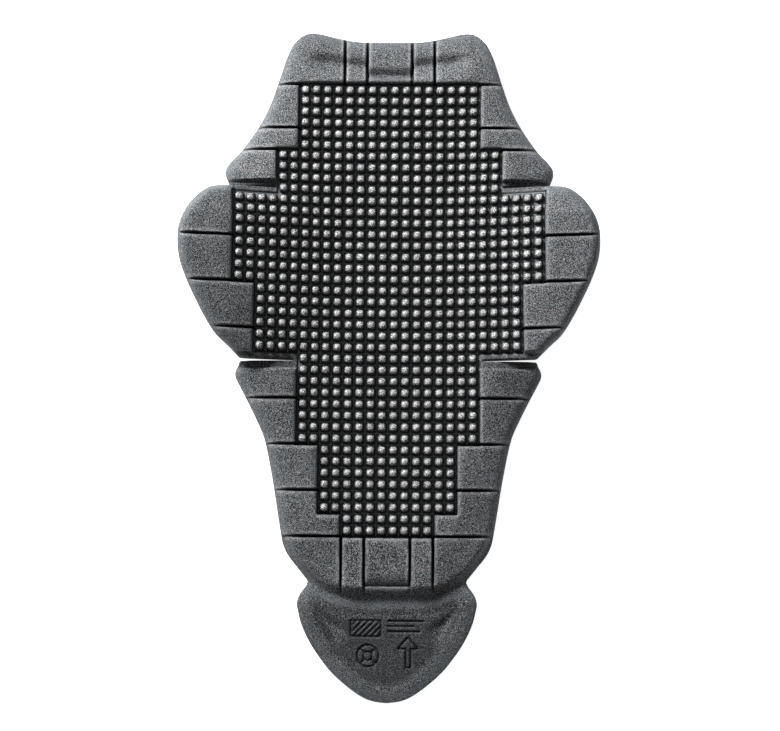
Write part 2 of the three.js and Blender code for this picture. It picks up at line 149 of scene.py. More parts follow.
def borderPoints(name):
    border = pad["wingBorder"] if name == "wing" else pad["bodyBorder"]
    return [(columns * pad["pitch"] + share * border, lineY(line))
            for line, columns, share in outlineTables[name]]


def slitPoints(slit):
    y, inner, above, below = slit
    half = pad["slitWidth"] / 2
    turn = [(inner - half * math.sin(a), y + half * math.cos(a))
            for a in np.linspace(0, math.pi, meshLines["slitTurn"])]
    return [(above, y + half)] + turn + [(below, y - half)]


def sideOutline():
    # six paths: lip and collar, slit, wing, slit, body, tail
    upper, lower = pad["slits"]
    half = pad["slitWidth"] / 2
    lip = [(w * pad["lipHalfWidth"], l * pad["lipLength"]) for w, l in outlineTables["lip"]]
    wing = [(upper[3], upper[0] - half)] + borderPoints("wing") + [(lower[2], lower[0] + half)]
    corner, waist = np.array(pad["panelCorner"]), np.array(pad["waist"])
    panelEnd = [tuple(corner), tuple((corner + waist) / 2), tuple(waist)]
    tail = [(w * pad["tailHalfWidth"], waist[1] - l * pad["tailLength"])
            for w, l in outlineTables["tail"]]
    return [
        curveThrough(lip + borderPoints("collar") + [(upper[2], upper[0] + half)]),
        slitPoints(upper),
        curveThrough(wing),
        slitPoints(lower),
        curveThrough([(lower[3], lower[0] - half)] + borderPoints("body") + panelEnd),
        curveThrough([tuple(waist)] + tail),
    ]


outlineParts = [np.array(part) for part in sideOutline()]
outline = np.concatenate(outlineParts)


def nearestOn(points, paths):
    # distance to the nearest point on the paths, and that point
    best = np.full(len(points), farAway)
    nearest = np.zeros((len(points), 2))
    for path in paths:
        for a, b in zip(path, path[1:]):
            along = b - a
            length = max(along @ along, 1e-12)
            t = np.clip((points - a) @ along / length, 0, 1)
            foot = a + t[:, None] * along
            distance = np.hypot(*(points - foot).T)
            closer = distance < best
            best[closer] = distance[closer]
            nearest[closer] = foot[closer]
    return best, nearest


def nearestOutline(points):
    # distance inside the outline and its slits (outside is negative) and the nearest point on them
    best, nearest = nearestOn(points, [outline])
    inside = np.zeros(len(points), bool)
    x, y = points.T
    for a, b in zip(outline, outline[1:]):
        if a[1] != b[1]:
            crosses = (a[1] > y) != (b[1] > y)
            inside ^= crosses & (x < a[0] + (y - a[1]) / (b[1] - a[1]) * (b[0] - a[0]))
    return np.where(inside, best, -best), nearest


def rimInset(points):
    # distance from the outer rim alone, without paths 1 and 3: the slits have no rolled rim
    return nearestOn(points, [path for i, path in enumerate(outlineParts) if i not in (1, 3)])[0]


# The shape of the top, piece by piece
topShape = {
    # distance from the groove's middle, share of the way from its floor to the top
    "knobProfile": [(0, 0), (0.8, 0.06), (1.3, 0.7), (2.2, 0.93), (4, 1)],
    "blockProfile": [(0, 0), (0.8, 0.07), (1.3, 0.78), (2.2, 0.96), (4, 1)],
    "cornerPull": 0.26,
    "cornerPower": 6,
    "cornerStart": 2,
    "cornerFade": (2.9, 1.1),  # start, run
    "blockRows": 4,
    "blockGrooveDepth": 4.5,
    "blockGrooveHalf": (1.3, 0.9),  # at the knobs, at the rim
    "grooveFlat": 0.3,
    "grooveLimit": 1,  # how far below the rim's height the floor may go
    "grooveTaper": 16,
    "grooveEnds": (1.0, -1),  # wing, body: distance from the rim; below 0 they run over it
    "grooveEndRun": 6,
    "grooveRimShare": 0.45,  # what is left of their depth on the body's rim
    "uprightX": (16.0, 32.0),
    "uprightHalf": (1.45, 1.0),  # at the knobs, at the far end
    "uprightReach": 0.8,  # down the panel's step
    "uprightTaper": 0.4,  # over the lip
    "uprightFade": 3,
    "webHeight": 11.5,
    "webWidths": (9.28, 11.36),
    "webWall": 1.6,
    "lipValleys": (7.4, 14.4, 19.4),
    "lipCornerX": 60.75,
    "lipFade": (46.0, 62.0),
    "lipHeights": (8.2, 11.9, 8.5),  # valley, brink, top edge
    "lipBrinkRun": 7.0,
    "lipRampStart": 3.0,
    "panelLength": 34.4,
    "stepRun": 10.0,
    "stepSweep": 34.0,
    "stepPower": 3.8,
    "tailHeights": (9.0, 6.5),
    "dish": 1.1,
    "dishEnds": [(6, 3), (9, 4)],  # start and run from the step's foot, then from the rim
    "pit": [(50.4, -369.0), (28.4, -383.8), (35.3, -397.6)],
    "pitDepth": 2.5,
    "pitRuns": [5.5, 4.5, 15.0],  # in from the upper, outer and inner sides
    "pitStart": 0.35,
    # distance below the field, height
    "tileCap": [(0, 16), (26.5, 16), (30.5, 15.2), (33.6, 12.9), (34.4, 12.6), (35.7, 14.3),
                (38, 13.3), (44.4, 9)],
}

# Painted light and shade on the top: where the masks of painted sheen, highlights and shade lie, in
# millimetres, and for the painted shade in the hollows how much deeper than it is each form is
# taken to be
paintedShading = {
    # painted sheen on the knob tops
    "knobTop": (1.9, 1.2, 3),  # start and run from the knob's middle, and its limit
    "hollowDepth": 2.6,
    # painted cool sheen along the rolled rim, also laid on the band at the step's foot
    "rim": (2, 9),  # start, run
    "foot": (3, 3.2),  # middle, width
    # painted highlights along the blocks' edges
    "edge": (1.75, 0.6),  # middle, width
    "edgeMargins": (2, 1),  # from a groove's end, from the uprights
    "crease": (0.5, 4.2, 1.3),  # middle, width above the valley, width below it
    "creaseShade": 0.8,
    "tileEnd": (0.6, 1),  # middle above the tile's end, width
    "tileEndShade": 1.8,
    "rampWidth": 4,
    "rampShade": 0.5,
    "flap": (8, 10),  # start and run from the step's foot
    "flapShade": 0.65,
    "dishShade": 0.75,
    "pitShade": -0.35,
    "webShade": 0.22,
}


def risingFrom(distance, profile):
    at, share = zip(*topShape[profile])
    rise = pad["height"] - pad["grooveFloor"]
    return pad["grooveFloor"] + rise * np.interp(distance, at, share)


def knobColumns(y):
    row = np.floor(-y / pad["pitch"]).astype(int)
    inField = (row >= 0) & (row < len(rowColumns))
    return np.where(inField, np.array(rowColumns)[np.clip(row, 0, len(rowColumns) - 1)], 0)


def fieldDistance(x, y):
    # how far a place outside the knob field lies from its stepped edge
    best = np.full(x.shape, farAway)
    for step, columns in enumerate(stepColumns):
        top, bottom = lineY(stepLines[step]), lineY(stepLines[step + 1])
        dx = np.maximum(x - columns * pad["pitch"], 0)
        dy = np.maximum(np.maximum(y - top, bottom - y), 0)
        best = np.minimum(best, np.hypot(dx, dy))
    return best


def grooveLines():
    # the grooves between the border blocks: y, inner end, outer end as a distance from the rim
    rows = topShape["blockRows"]
    wingEnd, bodyEnd = topShape["grooveEnds"]
    wing = [(stepLines[2] + rows, 2), (stepLines[3], 2), (stepLines[3] + rows, 3)]
    body = [(0, 0), (rows, 0), (stepLines[1], 1), (stepLines[5] - rows, 4), (stepLines[5], 4),
            (stepLines[5] + rows, 5), (stepLines[7], 6)]
    lines = [(line, step, wingEnd) for line, step in wing]
    lines += [(line, step, bodyEnd) for line, step in body]
    return [(lineY(line), stepColumns[step] * pad["pitch"], end) for line, step, end in lines]


def webEdges():
    # y of the block edges that the webs beside the slits run up to
    upper, lower = topShape["webWidths"]
    return lineY(stepLines[2]) + upper, lineY(stepLines[4]) - lower


def webCut(x, y):
    wall = topShape["webWall"]
    upperTop, lowerBottom = webEdges()
    pastField = np.maximum(fieldWidth - x, y - pad["slits"][0][0])
    onUpper = y > lineY(stepLines[2]) - hair
    upper = np.where(onUpper, np.minimum(upperTop - y, pastField), -wall)
    lower = np.minimum(lineY(stepLines[4]) - y, y - lowerBottom)
    return (pad["height"] - topShape["webHeight"]) * smooth(np.maximum(upper, lower) / wall + 0.5)


def grooveCut(distance, half):
    flat = topShape["grooveFlat"]
    return topShape["blockGrooveDepth"] * (1 - smooth((distance - flat) / (half - flat)))


def lipHeight(x, y):
    # height of the lip, and a mask of the crease across it, where painted shade goes
    low, brink, edge = topShape["lipHeights"]
    centre, side, corner = topShape["lipValleys"]
    tile = topShape["uprightX"][0]
    rise = (x - tile) / (topShape["lipCornerX"] - tile) * (corner - side)
    valley = np.where(x < tile, centre, side + rise)
    fadeStart, fadeEnd = topShape["lipFade"]
    fade = 1 - smooth((x - fadeStart) / (fadeEnd - fadeStart))
    run, start, end = topShape["lipBrinkRun"], topShape["lipRampStart"], pad["lipLength"]
    full = pad["height"]
    ramp = full + (low - full) * np.clip((y - start) / (valley - start), 0, 1)
    brinkRise = (brink - low) * smooth((y - valley) / run)
    beyond = (edge - brink) * np.clip((y - valley - run) / (end - valley - run), 0, 1)
    plain = full + (edge - full) * smooth((y - start) / (end - start))
    middle, above, below = paintedShading["crease"]
    crease = bell(y - valley, middle, np.where(y > valley, above, below)) * fade
    return (ramp + brinkRise + beyond) * fade + plain * (1 - fade), crease


def tailHeight(x, y):
    # height of the flap and of the step above it, and how far below the step's foot a place lies
    sweep = topShape["stepSweep"] * (x / pad["panelCorner"][0]) ** topShape["stepPower"]
    foot = fieldBottom - topShape["panelLength"] - topShape["stepRun"] + sweep
    high, low = topShape["tailHeights"]
    flap = high + (low - high) * np.clip((foot - sweep - y) / (foot - sweep - tipY), 0, 1)
    return flap + (pad["height"] - flap) * smooth((y - foot) / topShape["stepRun"]), foot - y


def pitCut(x, y):
    # triangular pit: steep in from its upper and outer sides, slow in from the flap's middle
    a, b, c = [np.array(p) for p in topShape["pit"]]
    depth = np.full(x.shape, topShape["pitDepth"])
    for (p, q), run in zip([(a, b), (c, a), (b, c)], topShape["pitRuns"]):
        side = q - p
        inward = (side[0] * (y - p[1]) - side[1] * (x - p[0])) / np.linalg.norm(side)
        depth = depth * smooth(inward / run + topShape["pitStart"])
    return depth


def grooveCuts(x, y, inset):
    cut = np.zeros(x.shape)
    nearHalf, farHalf = topShape["blockGrooveHalf"]
    rimShare = topShape["grooveRimShare"]
    for grooveY, start, end in grooveLines():
        taper = smooth((inset - max(end, 0)) / topShape["grooveTaper"])
        near = grooveCut(np.abs(y - grooveY), farHalf + (nearHalf - farHalf) * taper)
        toEnd = smooth((inset - end) / topShape["grooveEndRun"])
        reach = toEnd if end > 0 else rimShare + (1 - rimShare) * taper
        cut = np.maximum(cut, np.where(x > start - hair, near * reach, 0))
    nearHalf, farHalf = topShape["uprightHalf"]
    stepReach = topShape["stepRun"] * topShape["uprightReach"]
    panelFloor = fieldBottom - topShape["panelLength"] - stepReach
    onLip = y > 0
    onPanel = (y < fieldBottom) & (y > panelFloor)
    overPanel = (y - panelFloor) / (fieldBottom - panelFloor)
    overLip = 1 - topShape["uprightTaper"] * y / pad["lipLength"]
    along = np.where(onPanel, overPanel, overLip)
    fade = smooth(along * topShape["uprightFade"])
    for grooveX in topShape["uprightX"]:
        near = grooveCut(np.abs(x - grooveX), farHalf + (nearHalf - farHalf) * along)
        cut = np.maximum(cut, np.where(onLip | onPanel, near * fade, 0))
    return cut


def edgeHighlights(x, y, inset):
    # mask of painted highlights on the blocks' edges along the knobs, the grooves, the uprights and
    # the tile's end
    fromEnd, fromUpright = paintedShading["edgeMargins"]
    panelEnd = fieldBottom - topShape["panelLength"]
    near = fieldDistance(x, y)
    for grooveY, start, end in grooveLines():
        along = (x > start) & (inset > max(end, 0) + fromEnd)
        near = np.where(along, np.minimum(near, np.abs(y - grooveY)), near)
    besideUprights = (y > 0) | ((y < fieldBottom) & (y > panelEnd))
    for grooveX in topShape["uprightX"]:
        near = np.where(besideUprights, np.minimum(near, np.abs(x - grooveX)), near)
    onCentre = x < topShape["uprightX"][0] - fromUpright
    near = np.where(onCentre, np.minimum(near, np.abs(y - panelEnd)), near)
    return bell(near, *paintedShading["edge"])


def blockTop(x, y, inset):
    # height of the blocks, webs, lip and flap without their grooves, how much deeper the painted
    # shade takes them, and a mask of the band at the step's foot, where a lighter band is painted
    plane = np.full(x.shape, pad["height"])
    lip, crease = lipHeight(x, y)
    plane = np.where(y > 0, np.minimum(plane, lip), plane)
    tail, belowStep = tailHeight(x, y)
    plane = np.where(y < fieldBottom, np.minimum(plane, tail), plane)
    capAt, capHeight = zip(*topShape["tileCap"])
    down = fieldBottom - y
    onTile = (x < topShape["uprightX"][0]) & (y < fieldBottom) & (y > fieldBottom - capAt[-1])
    plane = np.where(onTile, np.minimum(plane, np.interp(down, capAt, capHeight)), plane)
    onFlap = y < fieldBottom - topShape["panelLength"] / 2
    (stepStart, stepRun), (rimStart, rimRun) = topShape["dishEnds"]
    dish = smooth((belowStep - stepStart) / stepRun) * smooth((inset - rimStart) / rimRun)
    dish = np.where(onFlap, topShape["dish"] * dish, 0)
    pit, web = np.where(onFlap, pitCut(x, y), 0), webCut(x, y)
    above, width = paintedShading["tileEnd"]
    tileEnd = bell(down, topShape["panelLength"] - above, width)
    ramp = bell(belowStep, -topShape["stepRun"] / 2, paintedShading["rampWidth"])
    start, run = paintedShading["flap"]
    flap = smooth((belowStep - start) / run)
    # painted shade of the webs, the lip's crease, the tile's end, the dish, the step's slope and
    # the flap, less of it in the pits
    shade = paintedShading["webShade"] * web + np.where(y > 0, paintedShading["creaseShade"] * crease, 0)
    shade = shade + np.where(onTile, paintedShading["tileEndShade"] * tileEnd, 0)
    shade = shade + paintedShading["dishShade"] * dish + paintedShading["pitShade"] * pit
    shade = shade + np.where(onFlap, paintedShading["rampShade"] * ramp + paintedShading["flapShade"] * flap, 0)
    # the band at the step's foot, painted lighter and cooler with the rim's sheen
    foot = np.where(onFlap, bell(belowStep, *paintedShading["foot"]), 0)
    return plane - dish - pit - web, shade, foot


def topHeight(x, y, inset):
    # height of the top, how far under the plane that the knobs and blocks share the painted shade
    # takes it to lie, and the mask of the band at the step's foot
    half = pad["pitch"] / 2
    columns = knobColumns(y)
    onKnob = (x < columns * pad["pitch"]) & (columns > 0)
    cellX = np.abs(np.mod(x, pad["pitch"]) - half)
    cellY = np.abs(np.mod(y, pad["pitch"]) - half)
    knob = risingFrom(half - np.maximum(cellX, cellY), "knobProfile")
    plane, shade, foot = blockTop(x, y, inset)
    block = np.minimum(risingFrom(fieldDistance(x, y), "blockProfile"), plane)
    lowest = pad["edgeHeight"] - topShape["grooveLimit"]
    block = np.maximum(block - grooveCuts(x, y, inset), lowest)
    height = np.where(onKnob, knob, block)
    # painted shade: the depth under the shared plane, deepened by the painted shade of creases,
    # steps and dips
    hollow = np.where(onKnob, pad["height"] - height, plane - height + shade)
    low, rise = pad["edgeHeight"], pad["height"] - pad["edgeHeight"]
    fall = np.where(onWing(y), pad["wingFall"], pad["fall"])
    fall = fall * (1 - np.clip(inset / pad["fallReach"], 0, 1))
    height = height - fall * np.maximum(height - low, 0) / rise
    rolled = np.sqrt(1 - (1 - np.clip(inset / pad["rimBand"], 0, 1)) ** 2)
    return low + (height - low) * rolled, hollow, foot


# Flat grid with its lines on the knobs' edges, then cut to the outline
def gridLines():
    pitch = pad["pitch"]
    lattice = meshLines["lattice"]
    nearEdge, middle = lattice[:4], lattice[4]
    sideX, topY = outline.max(axis=0)
    panelEnd = fieldBottom - topShape["panelLength"]
    xs = [cell * pitch + offset for cell in range(int(fieldWidth / pitch)) for offset in lattice]
    xs += [fieldWidth + offset for offset in nearEdge]
    xs += list(np.arange(fieldWidth + middle, sideX + meshLines["wing"], meshLines["wing"]))
    ys = [lineY(row) - offset for row in range(len(rowColumns)) for offset in lattice]
    ys += [fieldBottom - offset for offset in nearEdge] + nearEdge[1:]
    ys += list(np.arange(meshLines["lipStart"], topY + meshLines["lip"], meshLines["lip"]))
    ys += list(np.arange(fieldBottom - middle, tipY - meshLines["tail"], -meshLines["tail"]))
    beside = meshLines["slitEdge"]
    extra = [slit[0] + side for slit in pad["slits"] for side in (-beside, beside)]
    extra += [y + side for y in (*webEdges(), panelEnd) for side in meshLines["grooveSides"]]
    ys += [y for y in extra if min(abs(y - other) for other in ys) > meshLines["closest"]]
    return np.array(sorted(xs)), np.array(sorted(ys))


edgeRoll = {
    "inset": 1.0,
    # inset, share of the edge height
    "loops": [(0.45, None), (0.1, None), (0.0, 0.85), (0.0, 0.3), (0.9, 0.0)],
    "slitDrops": (0.03, 0.15),  # along the slits the first two loops fall by these shares
    "slitBlend": (1.5, 6),  # start and run, from the rim into a slit
    "snap": 0.02,  # vertices this near to the cut count as on it
}


def snapToOutline(points, inside, columns):
    # moves the nearer end of each crossed line onto the cut, so that the cut runs through vertices
    rows = len(points) // columns
    index = np.arange(len(points)).reshape(rows, columns)
    pairs = np.concatenate([
        np.stack([index[:, :-1].ravel(), index[:, 1:].ravel()], 1),
        np.stack([index[:-1].ravel(), index[1:].ravel()], 1),
    ])
    crossed = pairs[inside[pairs[:, 0]] * inside[pairs[:, 1]] < 0]
    share = inside[crossed[:, 0]] / (inside[crossed[:, 0]] - inside[crossed[:, 1]])
    for order in np.argsort(np.minimum(share, 1 - share)):
        a, b = crossed[order]
        if inside[a] * inside[b] >= 0:
            continue
        t = share[order]
        place = points[a] + t * (points[b] - points[a])
        mover = a if t < 0.5 else b
        if points[mover, 0] == 0 and place[0] != 0:
            mover = b if mover == a else a
        points[mover] = place
        inside[mover] = 0
    return points, inside


def onSpine(vert):
    return abs(vert.co.x) < meshLines["spineReach"]


def cutAway(shell, inside):
    # halves the squares with one corner outside the cut, and removes what lies outside it
    for face in list(shell.faces):
        outside = [v for v in face.verts if inside[v.index] < 0]
        if len(outside) == 1 and len(face.verts) == 4:
            loop = next(l for l in face.loops if l.vert is outside[0])
            bmesh.utils.face_split(face, loop.link_loop_next.vert, loop.link_loop_prev.vert)
    bmesh.ops.delete(shell, geom=[v for v in shell.verts if inside[v.index] < 0], context="VERTS")
    spare = []
    for face in shell.faces:
        if all(inside[v.index] == 0 for v in face.verts):
            middle = face.calc_center_median()
            if nearestOutline(np.array([[middle.x, middle.y]]))[0][0] < edgeRoll["inset"]:
                spare.append(face)
    bmesh.ops.delete(shell, geom=spare, context="FACES")
    loose = [v for v in shell.verts if not v.link_faces]
    bmesh.ops.delete(shell, geom=loose, context="VERTS")


def buildHalf():
    # one side of the pad, flat, with the way out to the outline kept at each vertex of the cut
    xs, ys = gridLines()
    bpy.ops.mesh.primitive_grid_add(x_subdivisions=len(xs) - 1, y_subdivisions=len(ys) - 1, size=2)
    half = bpy.context.object
    half.name = "foam_pad"
    half.data.name = "foam_pad"
    unit = np.empty(len(half.data.vertices) * 3)
    half.data.vertices.foreach_get("co", unit)
    unit = (unit.reshape(-1, 3)[:, :2] + 1) / 2
    column = np.rint(unit[:, 0] * (len(xs) - 1)).astype(int)
    row = np.rint(unit[:, 1] * (len(ys) - 1)).astype(int)
    points = np.stack([xs[column], ys[row]], 1)
    inside = nearestOutline(points)[0] - edgeRoll["inset"]
    inside[np.abs(inside) < edgeRoll["snap"]] = 0
    points, inside = snapToOutline(points, inside, len(xs))
    onCut = inside == 0
    cut = points[onCut]
    middle = cut[:, 0] == 0
    distance, nearest = nearestOutline(cut)
    outward = (nearest - cut) / np.maximum(np.abs(distance), 1e-6)[:, None]
    outward[middle, 0] = 0
    outward /= np.linalg.norm(outward, axis=1)[:, None]
    cut = nearest - outward * edgeRoll["inset"]
    cut[middle, 0] = 0
    points[onCut] = cut
    flat = np.zeros((len(points), 3))
    flat[:, :2] = points
    half.data.vertices.foreach_set("co", flat.ravel())
    shell = bmesh.new()
    shell.from_mesh(half.data)
    shell.verts.ensure_lookup_table()
    normalLayer = shell.verts.layers.float_vector.new("outward")
    start, run = edgeRoll["slitBlend"]
    onSlit = smooth((rimInset(cut) - start) / run)
    for i, n, share in zip(np.flatnonzero(onCut), outward, onSlit):
        shell.verts[i][normalLayer] = (n[0], n[1], share)  # third: how far into a slit
    cutAway(shell, inside)
    print("stage: flat grid cut,", len(shell.faces), "faces")
    return half, shell, normalLayer


def shapeTop(shell):
    # knobs, blocks, grooves, lip and tail as heights over the flat grid, with masks for the painted
    # light and shade
    points = np.array([v.co[:2] for v in shell.verts])
    inset = rimInset(points)
    x, y = points.T
    height, hollow, foot = topHeight(x, y, inset)
    half = pad["pitch"] / 2
    columns = knobColumns(y)
    fieldEdge = np.where(columns > 0, columns * pad["pitch"], -1)
    onKnob = x < fieldEdge - hair
    localX, localY = np.mod(x, pad["pitch"]) - half, np.mod(y, pad["pitch"]) - half
    ring = np.maximum(np.abs(localX), np.abs(localY))
    corner = np.minimum(np.abs(localX), np.abs(localY)) / np.maximum(ring, 1e-6)
    inner, (start, run) = topShape["cornerStart"], topShape["cornerFade"]
    pull = topShape["cornerPull"] * corner ** topShape["cornerPower"]
    pull = np.where(onKnob, pull * (1 - smooth((ring - start) / run)) * smooth(ring / inner), 0)
    topStart, topRun, topLimit = paintedShading["knobTop"]
    rimStart, rimRun = paintedShading["rim"]
    fromFloor = (half - ring) / meshLines["lattice"][1]
    # painted sheen: full over the knob's middle, fading out towards its edge
    knobTop = 1 - smooth((ring - topStart) / topRun)
    masks = {
        # painted sheen on the knob tops
        "knobTop": np.where(onKnob & (ring < topLimit), knobTop, 0),
        # painted shade in the grooves, creases and dips
        "hollow": smooth(hollow / paintedShading["hollowDepth"]),
        # painted cool sheen on the rim and the band at the step's foot
        "rim": np.maximum(1 - smooth((inset - rimStart) / rimRun), foot),
        # painted highlights on the blocks' edges
        "edge": np.where(onKnob, 0, edgeHighlights(x, y, inset)),
        # painted light on the groove floors between the knobs, over the painted shade there
        "floor": np.where(x < fieldEdge + hair, 1 - smooth(fromFloor), 0),
        # painted shade in the engraved marks, filled in when they are cut
        "mark": np.zeros(x.shape),
    }
    for name, values in masks.items():
        layer = shell.verts.layers.float.new(name)
        for v, value in zip(shell.verts, values):
            v[layer] = value
    for v, dx, dy, z in zip(shell.verts, localX * pull, localY * pull, height):
        v.co = (v.co.x - dx, v.co.y - dy, z)


def openEdges(found):
    # the open border without the straight one along the spine
    edges = [e for e in found if isinstance(e, bmesh.types.BMEdge) and e.is_boundary]
    return [e for e in edges if not all(onSpine(v) for v in e.verts)]


def placeOf(vert):
    return round(vert.co.x, 3), round(vert.co.y, 3)


def rollEdge(shell, normalLayer):
    # rounded edge: loops extruded from the cut, out to the outline and down to the back
    border = openEdges(shell.edges)
    topZ = {placeOf(v): v.co.z for e in border for v in e.verts}
    edge, band = pad["edgeHeight"], pad["rimBand"]
    at = edgeRoll["inset"]
    cutShare = math.sqrt(1 - (1 - at / band) ** 2)
    for turn, (inset, share) in enumerate(edgeRoll["loops"]):
        made = bmesh.ops.extrude_edge_only(shell, edges=border)["geom"]
        border = openEdges(made)
        nextZ = {}
        for v in [g for g in made if isinstance(g, bmesh.types.BMVert)]:
            start = topZ[placeOf(v)]
            outward = v[normalLayer]
            v.co.xy += outward.xy * (at - inset)
            if share is None:
                rolled = (start - edge) / cutShare * math.sqrt(1 - (1 - inset / band) ** 2)
                crisp = (start - edge) * (1 - edgeRoll["slitDrops"][turn])
                v.co.z = edge + rolled + (crisp - rolled) * outward.z
            else:
                v.co.z = edge * share
            nextZ[placeOf(v)] = start
        at = inset
        topZ = nextZ
    return border


def closeBack(shell, border):
    # smooth back: triangles between the last loop, the spine and a coarse grid of inner points
    bottom = list(dict.fromkeys(v for e in border for v in e.verts))
    spine = sorted((v for v in bottom if onSpine(v)), key=lambda v: v.co.y)
    low, high = spine[0], spine[-1]
    step = meshLines["back"]
    length = high.co.y - low.co.y
    count = int(length / step)
    between = [shell.verts.new((0, low.co.y + length * i / count, 0)) for i in range(1, count)]
    axis = [low] + between + [high]
    candidates = np.array([(x, y) for x in np.arange(step, outline[:, 0].max(), step)
                           for y in np.arange(low.co.y + step / 2, high.co.y, step)])
    inner = candidates[nearestOutline(candidates)[0] > step / 2]
    verts = bottom + between + [shell.verts.new((x, y, 0)) for x, y in inner]
    number = {v: i for i, v in enumerate(verts)}
    edges = [(number[e.verts[0]], number[e.verts[1]]) for e in border]
    edges += [(number[a], number[b]) for a, b in zip(axis, axis[1:])]
    places = [Vector(v.co[:2]) for v in verts]
    faces, origins = delaunay_2d_cdt(places, edges, [], 1, 1e-5)[2:4]
    for face in faces:
        corners = [verts[origins[i][0]] for i in face]
        if len(set(corners)) == 3:
            shell.faces.new(corners[::-1])


def onWing(y):
    upper, lower = pad["slits"]
    return (y < upper[0]) & (y > lower[0])


# The sides curve up from the flat strip along the spine, the wings on to their rims, while the
# other borders level out
bend = {
    "spineFlat": 24.0,
    "bodyLift": 16.4,
    "wingLift": 5.9,
    "pull": 4.2,
    "wingTilt": 0.25,
    "wingTiltStart": 100.0,
    "wingTiltEase": 8.0,
    "levelEase": 10.0,
    # place down the field, share of the lift, where it levels out
    "rows": [(-0.12, 0.4, 70), (0, 0.48, 70), (0.19, 0.71, 82), (0.3, 1, 86), (0.5, 0.93, 70),
             (0.69, 0.73, 68), (1, 0.5, 60), (1.36, 0.2, 60)],
}


def bendPad(points):
    places, shares, levels = zip(*bend["rows"])
    x, y, z = points.T
    side = np.abs(x)
    share = np.interp(y / fieldBottom, places, shares)
    level = np.interp(y / fieldBottom, places, levels)
    past = np.where(onWing(y), 0, np.maximum(side - level, 0))
    ease = bend["levelEase"]
    held = side - past + ease * (1 - np.exp(-past / ease))
    rise = smooth((held - bend["spineFlat"]) / (fieldWidth - bend["spineFlat"]))
    upper, lower = pad["slits"]
    along = (y - upper[0]) / (lower[0] - upper[0])
    inner = upper[1] + along * (lower[1] - upper[1])
    wingRise = smooth((side - inner) / (fieldWidth + pad["pitch"] - inner))
    beyond = np.maximum(side - bend["wingTiltStart"], 0)
    tilted = bend["wingTilt"] * beyond**2 / (beyond + bend["wingTiltEase"])
    tilted = np.where(onWing(y), tilted, 0)
    extra = np.where(onWing(y), bend["wingLift"] * wingRise, 0)
    pull = bend["pull"] * share**2 * rise + tilted * bend["wingTilt"] / 2
    lift = bend["bodyLift"] * share * rise + extra + tilted
    return np.stack([x - np.sign(x) * pull, y, z + lift], 1)


# Moulded marks on the tail flap in thin engraved lines: a hatched block, rules, a wheel, an arrow
marks = {
    "depth": 1.0,
    "line": 0.7,
    "soft": 0.45,
    "box": (-31.0, -415.5, 31.0, -372.5),  # the mesh is finer in here
    "longestEdge": 1.1,
    "cuts": 2,
    "margin": 1,
    "underside": 4,  # vertices lower than this belong to the back
    "arrow": (15.0, -400.0, 21.0, 8.0, 3.4),  # middle x and y, length, head, shaft width
    "arrowSpread": 0.9,  # half the head's width as a share of its length
    "block": (-25.0, -389.0, -4.0, -378.0),
    "hatch": 4.2,
    "hatchEnd": 1,  # no hatch line starts nearer to the block's corner
    "rings": [(-13.0, -402.5, 7.5), (-13.0, -402.5, 3.0)],
    "spokes": 4,
    "rules": [(1.0, 26.0, -378.5), (1.0, 19.0, -382.0), (1.0, 23.0, -385.5)],
}


def segmentDistance(x, y, a, b):
    ax, ay = a
    bx, by = b
    length = (bx - ax) ** 2 + (by - ay) ** 2
    t = np.clip(((x - ax) * (bx - ax) + (y - ay) * (by - ay)) / length, 0, 1)
    return np.hypot(x - ax - t * (bx - ax), y - ay - t * (by - ay))


def markLines():
    # every straight line of the marks, from end to end
    middleX, middleY, length, head, shaft = marks["arrow"]
    top, bottom = middleY + length / 2, middleY - length / 2
    wide, neck, half = head * marks["arrowSpread"], top - head, shaft / 2
    right = [(0, top), (wide, neck), (half, neck), (half, bottom), (0, bottom)]
    path = [(middleX + px, py) for px, py in right] + [(middleX - px, py) for px, py in right[::-1]]
    lowX, lowY, highX, highY = marks["block"]
    corners = [(lowX, lowY), (highX, lowY), (highX, highY), (lowX, highY), (lowX, lowY)]
    found = [*zip(path, path[1:]), *zip(corners, corners[1:])]
    tall, apart = highY - lowY, marks["hatch"]
    for foot in np.arange(lowX - tall + apart, highX - marks["hatchEnd"], apart):
        start, end = max(lowX - foot, 0), min(highX - foot, tall)  # cut off at the block's sides
        found.append(((foot + start, lowY + start), (foot + end, lowY + end)))
    (ringX, ringY, rim), (hubX, hubY, hub) = marks["rings"]
    for angle in (np.arange(marks["spokes"]) + 0.5) * 2 * math.pi / marks["spokes"]:
        ray = np.array([math.cos(angle), math.sin(angle)])
        found.append((np.array([hubX, hubY]) + ray * hub, np.array([ringX, ringY]) + ray * rim))
    found += [((fromX, ruleY), (toX, ruleY)) for fromX, toX, ruleY in marks["rules"]]
    return [(a, b) for a, b in found if math.dist(a, b) > hair]


def markDistance(x, y):
    best = np.full(x.shape, farAway)
    for ringX, ringY, radius in marks["rings"]:
        best = np.minimum(best, np.abs(np.hypot(x - ringX, y - ringY) - radius))
    for a, b in markLines():
        best = np.minimum(best, segmentDistance(x, y, a, b))
    return best


